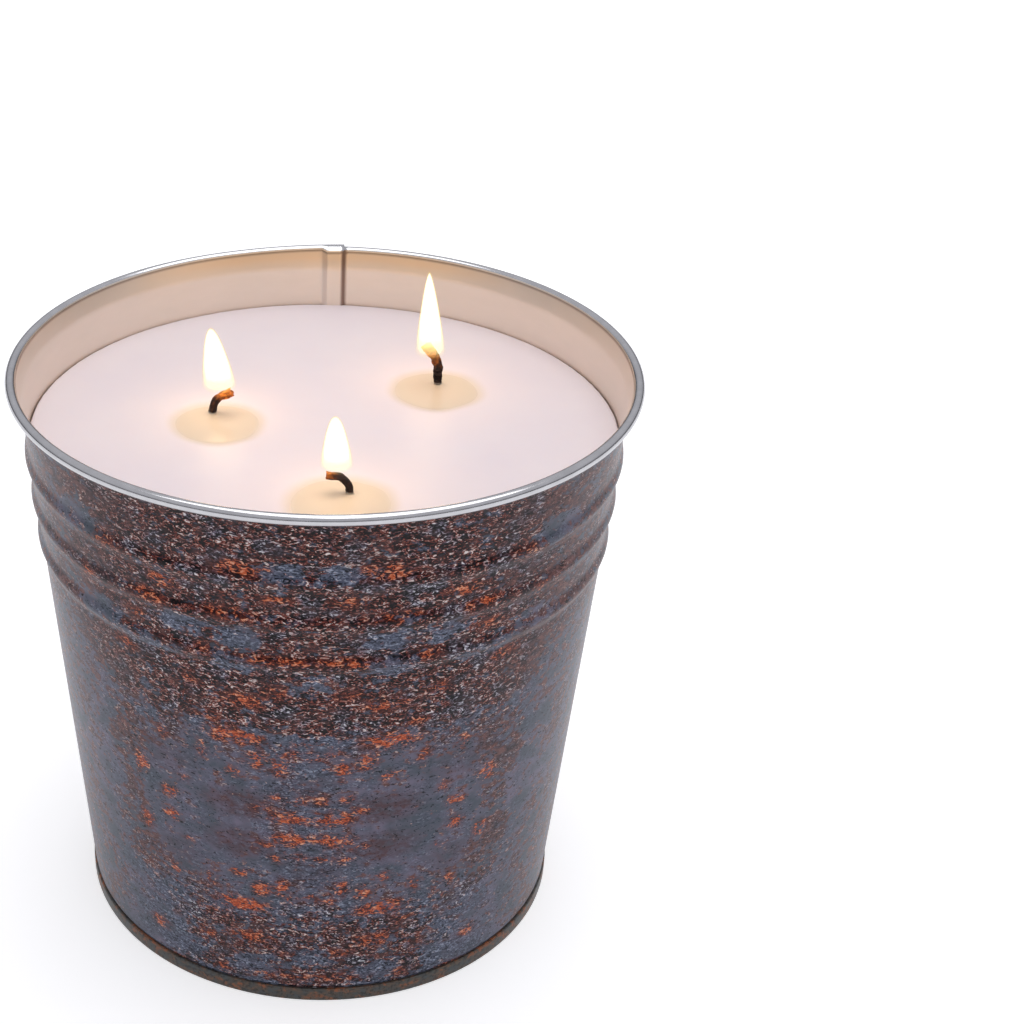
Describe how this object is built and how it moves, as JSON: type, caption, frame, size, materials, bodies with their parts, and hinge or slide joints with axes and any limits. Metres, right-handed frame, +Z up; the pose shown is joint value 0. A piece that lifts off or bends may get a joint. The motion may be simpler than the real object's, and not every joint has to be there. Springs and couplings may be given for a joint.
{
  "type": "citronella candle bucket",
  "caption": "Round tapered tinplate bucket with a curled rim, swaged beads and a rust-effect print, filled with pale wax that upright wicks burn in.",
  "frame": {"origin": "centre of the bucket's foot, on the surface that it stands on", "axes": "+Z up along the bucket's axis, +Y towards the lock seam at the back, +X to the right seen from the front"},
  "size_m": [0.13, 0.13, 0.126],
  "materials": {
    "printed_tin": "tinplate with a varnished rust-effect print of dark brown, slate and orange; plain silver lacquer on the rim and warm plain tin inside",
    "base_tin": "tinplate with a dark rust-effect print, plain tin underneath",
    "wax": "pale pinkish wax, satin, glossy and yellowish where it is molten",
    "wick": "braided cotton, charred at the burnt end",
    "plain_tin": "bright tinplate",
    "glue": "translucent hot-melt glue"
  },
  "bodies": {
    "root": {"bucket_body": "printed_tin", "base_disc": "base_tin", "wax_fill": "wax", "wick_left": "wick", "wick_right": "wick", "wick_front": "wick", "wick_sustainer_left": "plain_tin", "wick_sustainer_right": "plain_tin", "wick_sustainer_front": "plain_tin", "glue_pad_left": "glue", "glue_pad_right": "glue", "glue_pad_front": "glue"}
  },
  "joints": []
}
